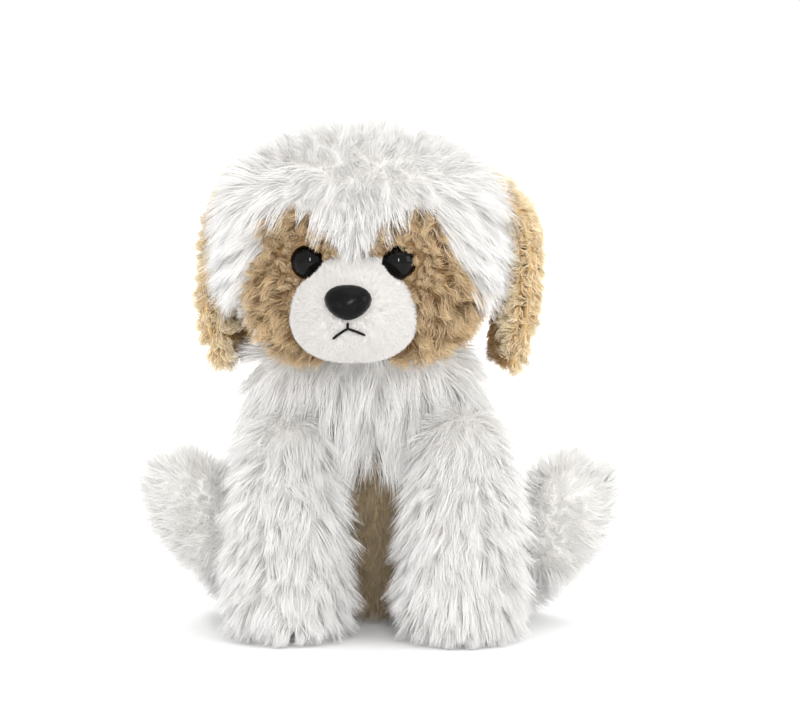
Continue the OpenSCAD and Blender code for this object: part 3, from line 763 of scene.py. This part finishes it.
patch = 1 - fade(patchFar, head["patchEdge"])
jaw = (muzzleFar < head["jawNear"] * mm) & between(z, head["jawHeight"])
jaw = jaw * (1 - fade(patchFar, head["jawEdge"]))
cheek = (muzzleFar < head["cheekNear"] * mm) & between(z, head["cheekHeight"])
cheek &= outMuzzle > head["cheekOut"] * mm
patch = np.maximum(np.maximum(patch, jaw), cheek)
for n, sign in eyeNodes.items():
    off = co - boxMiddle(n)
    rim = (np.linalg.norm(off, axis=1) < head["eyeRim"] * mm) & (off[:, 0] * sign > -head["eyeInner"] * mm)
    patch = np.maximum(patch, rim)
outLeft, outRight = [np.interp(z / mm, head["outHeight"], head[k]) * mm for k in ("outLeft", "outRight")]
reach = np.where(co[:, 0] < muzzleX, outRight, outLeft)
patch *= 1 - fade(outMuzzle - reach, head["outEdge"])
bare = np.where(inMuzzle, 0, fade(muzzleFar, head["muzzleGap"])) * fade(eyeFar, head["eyeGap"])

temple = fade(out, mop["temple"])
pull = np.stack([away[:, 0] * (mop["sweep"] + mop["templeSweep"] * temple),
                 mop["forward"] + mop["backward"] * fade(away[:, 1], mop["back"]),
                 mop["templeRise"] * temple - 1], axis=1)
for n in eyeNodes:
    off = co - boxMiddle(n)
    ring = 1 - fade(np.linalg.norm(off, axis=1), mop["eyeRing"])
    pull += unitRows(off) * mop["eyePush"] * ring[:, None]
comb = inSurface(pull, no)
comb *= 1 - mop["upright"] * fade(z, mop["crown"])[:, None]
length = mop["length"] + mop["sideLength"] * fade(out, mop["side"])
lower = fade(out, mop["earOut"]) * (1 - fade(away[:, 1], mop["earBack"])) * (1 - fade(z, mop["earHeight"]))
length *= 1 - mop["earShort"] * lower    # short where the ears hang
patchLength, mopLength = [mop["eyeShort"] + (1 - mop["eyeShort"]) * fade(eyeFar, mop[k])
                          for k in ("patchEye", "mopEye")]
brow = fade(z, mop["brow"]) * fade(eyeFar, mop["browEye"])
setCoords(headSkin.data, co + no * (mop["browRise"] * mm * brow)[:, None])    # fuller over brow and crown

dens = bare * fade(z, head["neck"]) * (1 - patch)
half = away[:, 0] > 0
for s, mask, seed in (("left", half, 21), ("right", ~half, 22)):
    piece = growFur("headFur." + s, headSkin, crownLook, "whiteFur", seed, dens * mask, comb,
                    length * mopLength)
    dress(piece, "head", None, slot="long_fur")
dens = bare * patch * (1 + (eyeFar < head["eyeDense"] * mm))    # denser round the eyes
piece = growFur("patchFur", headSkin, curlLook, "tanFur", 23, dens, comb, patchLength)
dress(piece, "head", None, "cheek_patch_left", "cheek_patch_right", slot="tan_fur")
setAttr(headSkin.data, "tint", patch)
dress(headSkin, "head", "headCloth", "head_cover", slot="long_fur", fill=head["fill"])
print("head done")

# muzzle: clipped pile, brushed away from the nose
noseLow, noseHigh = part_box("nose")
noseX, noseZ = (noseLow.x + noseHigh.x) / 2, (noseLow.z + noseHigh.z) / 2
co, no = coords(muzzleSkin.data), normalsOf(muzzleSkin.data)
dens = fade(distanceTo(co, ["nose"]), muzzle["noseGap"])
dens *= fade(distanceTo(co, ["head_stuffing"]), muzzle["headGap"])
comb = inSurface(co - np.array([noseX, noseLow.y, noseZ]), no)
piece = growFur("muzzleFur", muzzleSkin, clipLook, "muzzleFur", 31, dens, comb)
dress(piece, "head", None, slot="clipped_fur")

# mouth: three lengths of thread, laid on the muzzle
mouth = {"radius": 0.66, "around": 10, "endTaper": 0.55, "proud": 1.7, "top": 0.4, "fork": 3.6, "bend": 1.25,
         "philtrumSteps": 5, "lipSteps": 10, "castFrom": 50,
         "lips": ((-7.6, 5.4), (8.6, 3.4))}    # reach and drop of each


def threadTube(name, paths):
    bm = bmesh.new()
    around = mouth["around"]
    for path in paths:
        rings, last = [], len(path) - 1
        for k, p in enumerate(path):
            t = (path[min(k + 1, last)] - path[max(k - 1, 0)]).normalized()
            u = t.cross(Vector((0, 1, 0))).normalized()
            v = t.cross(u)
            radius = mouth["radius"] * mm * (mouth["endTaper"] if k in (0, last) else 1)
            angles = [i * math.tau / around for i in range(around)]
            rings.append([bm.verts.new(p + (u * math.cos(a) + v * math.sin(a)) * radius) for a in angles])
        for a, b in zip(rings, rings[1:]):
            for i in range(around):
                j = (i + 1) % around
                bm.faces.new((a[i], a[j], b[j], b[i]))
        bm.faces.new(rings[0])
        bm.faces.new(list(reversed(rings[-1])))
    return finished(name, bm)


def onMuzzle(x, z):
    start = Vector((noseX + x, noseLow.y - mouth["castFrom"] * mm, z))
    hit = muzzleFront.ray_cast(start, Vector((0, 1, 0)))[0]
    return hit - Vector((0, mouth["proud"] * mm, 0))


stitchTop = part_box("mouth_stitch")[1].z
top, fork = stitchTop - mouth["top"] * mm, stitchTop - mouth["fork"] * mm
steps = [k / mouth["philtrumSteps"] for k in range(mouth["philtrumSteps"] + 1)]
threads = [[onMuzzle(0, top + (fork - top) * t) for t in steps]]
steps = [k / mouth["lipSteps"] for k in range(mouth["lipSteps"] + 1)]
for reach, drop in mouth["lips"]:
    threads.append([onMuzzle(reach * mm * t, fork - drop * mm * t ** mouth["bend"]) for t in steps])
dress(threadTube("mouthThread", threads), "head", "threadBlack", "mouth_stitch", slot="thread")
dress(muzzleSkin, "head", "muzzleCloth", "muzzle_cover", slot="clipped_fur", fill=muzzle["fill"])
print("muzzle done")

# front legs
frontLeg = {"fill": 0.75, "body": (2.5, 5), "foot": (5, 8), "length": 0.75, "upperLength": 0.3,
            "upper": (8, 40), "pull": (0, -0.55, -1)}
legLook = {**longLook, "Density": 1750000.0, "Clump Density": 26000.0, "Length": 15.5 * mm, "Comb": 0.75,
           "Jitter": 0.38, "Droop": 0.25}
for k, s in enumerate(sides):
    skin, body = skins["frontLegSkin." + s], f"front_leg_{s}"
    co, no = coords(skin.data), normalsOf(skin.data)
    z = co[:, 2]
    dens = fade(distanceTo(co, ["torso_stuffing"]), frontLeg["body"]) * fade(z, frontLeg["foot"])
    length = frontLeg["length"] + frontLeg["upperLength"] * fade(z, frontLeg["upper"])
    comb = combTo(no, frontLeg["pull"])
    piece = growFur("frontLegFur." + s, skin, legLook, "whiteFur", 41 + k, dens, comb, length)
    dress(piece, body, None, slot="long_fur")
    dress(skin, body, "whiteCloth", body + "_cover", slot="long_fur", fill=frontLeg["fill"])

# hind legs, with a clipped sole
hindLeg = {"fill": 0.7, "body": (4, 8), "sole": (1.6, 3.0), "floor": (8, 12), "pull": (0.7, -0.1, 0.5)}
soleLook = {**shortLook, "Length": 7 * mm, "Clump": 0.35, "Steps": 3}
for k, s in enumerate(sides):
    skin, body = skins["hindLegSkin." + s], f"hind_leg_{s}"
    co, no = coords(skin.data), normalsOf(skin.data)
    sole = 1 - fade(distanceTo(co, [f"hind_sole_{s}"]), hindLeg["sole"])
    dens = fade(distanceTo(co, ["torso_stuffing"]), hindLeg["body"]) * fade(co[:, 2], hindLeg["floor"])
    outward, forward, upward = hindLeg["pull"]
    comb = combTo(no, (outward if s == "left" else -outward, forward, upward))
    piece = growFur("hindLegFur." + s, skin, shortLook, "whiteFur", 51 + k, dens * (1 - sole), comb)
    dress(piece, body, None, slot="short_fur")
    piece = growFur("hindSoleFur." + s, skin, soleLook, "whiteFur", 53 + k, dens * sole, comb)
    dress(piece, body, None, f"hind_sole_{s}", slot="clipped_fur")
    dress(skin, body, "whiteCloth", body + "_cover", slot="short_fur", fill=hindLeg["fill"])

# tail
tail = {"fill": 0.6, "root": (3, 7), "pull": (0, 1, 0.6)}
tailSkin = skins["tailSkin"]
co, no = coords(tailSkin.data), normalsOf(tailSkin.data)
dens = fade(distanceTo(co, ["torso_stuffing"]), tail["root"])
piece = growFur("tailFur", tailSkin, shortLook, "whiteFur", 61, dens, combTo(no, tail["pull"]))
dress(piece, "tail", None, slot="short_fur")
dress(tailSkin, "tail", "whiteCloth", "tail_cover", slot="short_fur", fill=tail["fill"])
print("legs and tail done")

# ears: curls on the fur side, which roll over the top and the outer edge of the lining
ear = {"fill": 0.4, "liningFill": 0.3, "facing": 0.5, "sewnNear": 4, "liningEdge": (1.2, 1.8),
       "roll": (0.52, 0.6), "rollTop": (184, 190)}    # the roll starts at this share of the lining's width
earLook = {**curlLook, "Clump Density": 42000.0, "Length": 7 * mm, "Lift": 0.75, "Comb": 0.45}
liningLook = {**clipLook, "Density": 3600000.0, "Length": 3 * mm, "Lift": 0.6, "Comb": 0.8, "Width": 0.4 * mm}
for k, s in enumerate(sides):
    skin, lining, body = skins["earSkin." + s], skins["earLining." + s], f"ear_{s}"
    co, no = coords(skin.data), normalsOf(skin.data)
    liningTree = surfaceOf([f"ear_{s}_lining"])
    hits = [liningTree.find_nearest(Vector(p)) for p in co]
    facing = np.array([Vector(n).dot((h[0] - Vector(p)).normalized()) for p, n, h in zip(co, no, hits)])
    sewn = (facing > ear["facing"]) & (np.array([h[3] for h in hits]) < ear["sewnNear"] * mm)
    piece = growFur("earFur." + s, skin, earLook, "earTan", 71 + k, np.where(sewn, 0.0, 1.0), combTo(no))
    dress(piece, body, None, slot="tan_fur")
    dress(skin, body, "earCloth", f"ear_{s}_fur", slot="tan_fur", fill=ear["fill"])
    co, no = coords(lining.data), normalsOf(lining.data)
    x = co[:, 0]
    dens = fade(distanceTo(co, [f"ear_{s}_fur"]), ear["liningEdge"])
    acrossEar = np.abs(x - (x.min() if s == "left" else x.max())) / np.ptp(x)
    rolled = np.maximum(ramp(acrossEar, *ear["roll"]), fade(co[:, 2], ear["rollTop"]))
    comb = combTo(no)
    piece = growFur("earLiningFur." + s, lining, liningLook, "liningFur", 73 + k, dens * (1 - rolled), comb)
    dress(piece, body, None, slot="tan_lining")
    piece = growFur("earRollFur." + s, lining, earLook, "earTan", 75 + k, dens * rolled, comb)
    dress(piece, body, None, slot="tan_fur")
    dress(lining, body, "tanCloth", f"ear_{s}_lining", slot="tan_lining", fill=ear["liningFill"])
print("ears done")

# eyes: polished domes on their shanks
eye = {"radius": 9.4 * mm, "dome": 7.4 * mm, "rim": 0.9 * mm, "rings": 22, "around": 64, "rimShare": 0.99,
       "turn": math.radians(20), "frontDepth": 6.4 * mm, "proud": 0.4 * mm,
       "shankRadius": 2.5 * mm, "shankLength": 8 * mm, "backStep": 1.2}


def domeProfile():
    curve = (eye["radius"] ** 2 + eye["dome"] ** 2) / (2 * eye["dome"])
    reach = math.asin(eye["radius"] / curve)
    angles = [reach * k / eye["rings"] for k in range(1, eye["rings"] + 1)]
    profile = [(curve * math.sin(a), curve * (1 - math.cos(a))) for a in angles]
    profile.append((eye["radius"] * eye["rimShare"], eye["dome"] + eye["rim"]))
    profile.append((eye["shankRadius"], eye["dome"] + eye["rim"] * eye["backStep"]))
    profile.append((eye["shankRadius"], eye["dome"] + eye["shankLength"]))
    return profile


for n, sign in eyeNodes.items():
    pts = coords(nodes[n].data)
    axis = Vector((math.sin(eye["turn"] * sign), -math.cos(eye["turn"] * sign), 0))
    along = pts @ np.array(axis)
    front = pts[along > along.max() - eye["frontDepth"]]
    mid = Vector((front.min(axis=0) + front.max(axis=0)) / 2)
    apex = mid + axis * (float(along.max()) - mid.dot(axis) + eye["proud"])
    across = axis.cross(Vector((0, 0, 1))).normalized()
    upward = across.cross(axis)
    angles = [k * math.tau / eye["around"] for k in range(eye["around"])]
    bm = bmesh.new()
    top = bm.verts.new(apex)
    rings = []
    for r, depth in domeProfile():
        hub = apex - axis * depth
        rings.append([bm.verts.new(hub + (across * math.cos(a) + upward * math.sin(a)) * r) for a in angles])
    for k in range(eye["around"]):
        j = (k + 1) % eye["around"]
        bm.faces.new((top, rings[0][k], rings[0][j]))
        for a, b in zip(rings, rings[1:]):
            bm.faces.new((a[k], b[k], b[j], a[j]))
    bm.faces.new(rings[-1])
    dome = finished("eyeDome." + n.split("_")[1], bm)
    dress(dome, "head", "eyeBlack", n, slot="eye_plastic")

# nose, rounded over from the moulded solid, with two nostril dents
noseShape = {"voxel": 0.45, "passes": 6, "halfHeight": 9 * mm, "flare": 0.07, "pinch": 0.05,
             "dentOut": 5.2 * mm, "dentLow": 2.2 * mm, "dentWide": 2.6 * mm, "dentTall": 1.9 * mm,
             "dentDepth": 1.5 * mm, "dentReach": 9 * mm}
noseShell = makeSkin("noseShell", "nose", noseShape["voxel"], 0.0, noseShape["passes"])
co = coords(noseShell.data)
high = (co[:, 2] - noseZ) / noseShape["halfHeight"]
co[:, 0] = noseX + (co[:, 0] - noseX) * (1 + noseShape["flare"] * high - noseShape["pinch"] * high ** 2)
for sign in (-1, 1):
    wide = (co[:, 0] - noseX - sign * noseShape["dentOut"]) / noseShape["dentWide"]
    tall = (co[:, 2] - noseZ + noseShape["dentLow"]) / noseShape["dentTall"]
    inFront = co[:, 1] < noseLow.y + noseShape["dentReach"]
    co[:, 1] += np.exp(-(wide ** 2 + tall ** 2)) * noseShape["dentDepth"] * inFront
setCoords(noseShell.data, co)
dress(noseShell, "head", "noseBlack", "nose", slot="nose_plastic")
print("eyes and nose done")

# what is inside keeps its CAD solid
inner = {"pellet_pouch": "pouchCloth", "eye_washer_left": "washerWhite", "eye_washer_right": "washerWhite",
         "nose_washer": "washerWhite"}
inner.update({n: "fibre" for n in nodes if n.endswith("_stuffing")})
for n, material in inner.items():
    wear(nodes[n], material)

# floor
floorLook = {"half": 30, "color": 0.95, "roughness": 0.9, "lift": 0.08}    # lift: what the camera alone sees
h = floorLook["half"]
floorMesh = bpy.data.meshes.new("floor")
floorMesh.from_pydata([(-h, -h, 0), (h, -h, 0), (h, h, 0), (-h, h, 0)], [], [(0, 1, 2, 3)])
floor = newObject("floor", floorMesh)
floorPaint, t, shader = newMaterial("floorPaint", {"Base Color": (*[floorLook["color"]] * 3, 1),
                                                   "Roughness": floorLook["roughness"],
                                                   "Specular IOR Level": 0.0,
                                                   "Emission Color": (1, 1, 1, 1)})
floorRay = t.nodes.new("ShaderNodeLightPath")
floorLift = t.nodes.new("ShaderNodeMath")
floorLift.operation = "MULTIPLY"
floorLift.inputs[1].default_value = floorLook["lift"]
t.links.new(floorRay.outputs["Is Camera Ray"], floorLift.inputs[0])
t.links.new(floorLift.outputs[0], shader.inputs["Emission Strength"])
floorMesh.materials.append(floorPaint)

# lamps: place, aim, width, watts and, for a strip, height
lamps = {"key": ((0.35, -0.7, 2.1), (0, -0.04, 0.12), 1.4, 5.5),
         "fill": ((-0.3, -1.9, 0.35), (0, -0.04, 0.12), 1.4, 1),
         "side": ((1.5, -0.5, 0.7), (0.05, -0.04, 0.15), 0.8, 4),
         "strip": ((0.3, -2.2, 0.9), (0, -0.09, 0.19), 0.16, 16, 0.7),    # shines in the eyes
         "back": ((-0.4, 1.7, 1.2), (0, 0, 0.12), 1.2, 14)}


def areaLight(name, place, aim, size, power, height=None):
    data = bpy.data.lights.new(name, "AREA")
    data.energy = power
    data.size = size
    if height:
        data.shape = "RECTANGLE"
        data.size_y = height
    obj = bpy.data.objects.new(name, data)
    obj.location = place
    obj.rotation_euler = (Vector(aim) - Vector(place)).to_track_quat("-Z", "Y").to_euler()
    scene.collection.objects.link(obj)


for name, values in lamps.items():
    areaLight(name, *values)

# a white room, seen at strength 1 by the camera and in reflections
room = {"light": 1.03, "seen": 1.0}
world = bpy.data.worlds.new("studio")
scene.world = world
world.use_nodes = True
t = world.node_tree
glow = t.nodes["Background"]
glow.inputs["Color"].default_value = (1, 1, 1, 1)
glow.inputs["Strength"].default_value = room["light"]
backdrop = t.nodes.new("ShaderNodeBackground")
backdrop.inputs["Color"].default_value = (1, 1, 1, 1)
backdrop.inputs["Strength"].default_value = room["seen"]
ray = t.nodes.new("ShaderNodeLightPath")
direct = t.nodes.new("ShaderNodeMath")
direct.operation = "MAXIMUM"
t.links.new(ray.outputs["Is Camera Ray"], direct.inputs[0])
t.links.new(ray.outputs["Is Glossy Ray"], direct.inputs[1])
pick = t.nodes.new("ShaderNodeMixShader")
t.links.new(direct.outputs[0], pick.inputs[0])
t.links.new(glow.outputs[0], pick.inputs[1])
t.links.new(backdrop.outputs[0], pick.inputs[2])
t.links.new(pick.outputs[0], t.nodes["World Output"].inputs["Surface"])

# camera, with the width it takes in at the aim
view = {"aim": (0, -0.04, 0.125), "azimuth": 3.7, "elevation": 7.6, "distance": 3.0, "sensor": 36,
        "width": 0.408, "shiftX": 0.0275, "shiftY": 0.033, "clipEnd": 100}
camData = bpy.data.cameras.new("camera")
cam = bpy.data.objects.new("camera", camData)
scene.collection.objects.link(cam)
az, el = math.radians(view["azimuth"]), math.radians(view["elevation"])
toCam = Vector((math.sin(az) * math.cos(el), -math.cos(az) * math.cos(el), math.sin(el)))
cam.location = Vector(view["aim"]) + toCam * view["distance"]
cam.rotation_euler = (-toCam).to_track_quat("-Z", "Y").to_euler()
camData.sensor_width = view["sensor"]
camData.lens = view["sensor"] * view["distance"] / view["width"]
camData.shift_x = view["shiftX"]
camData.shift_y = view["shiftY"]
camData.clip_end = view["clipEnd"]
scene.camera = cam
scene.view_settings.view_transform = "Standard"
print("stage set")
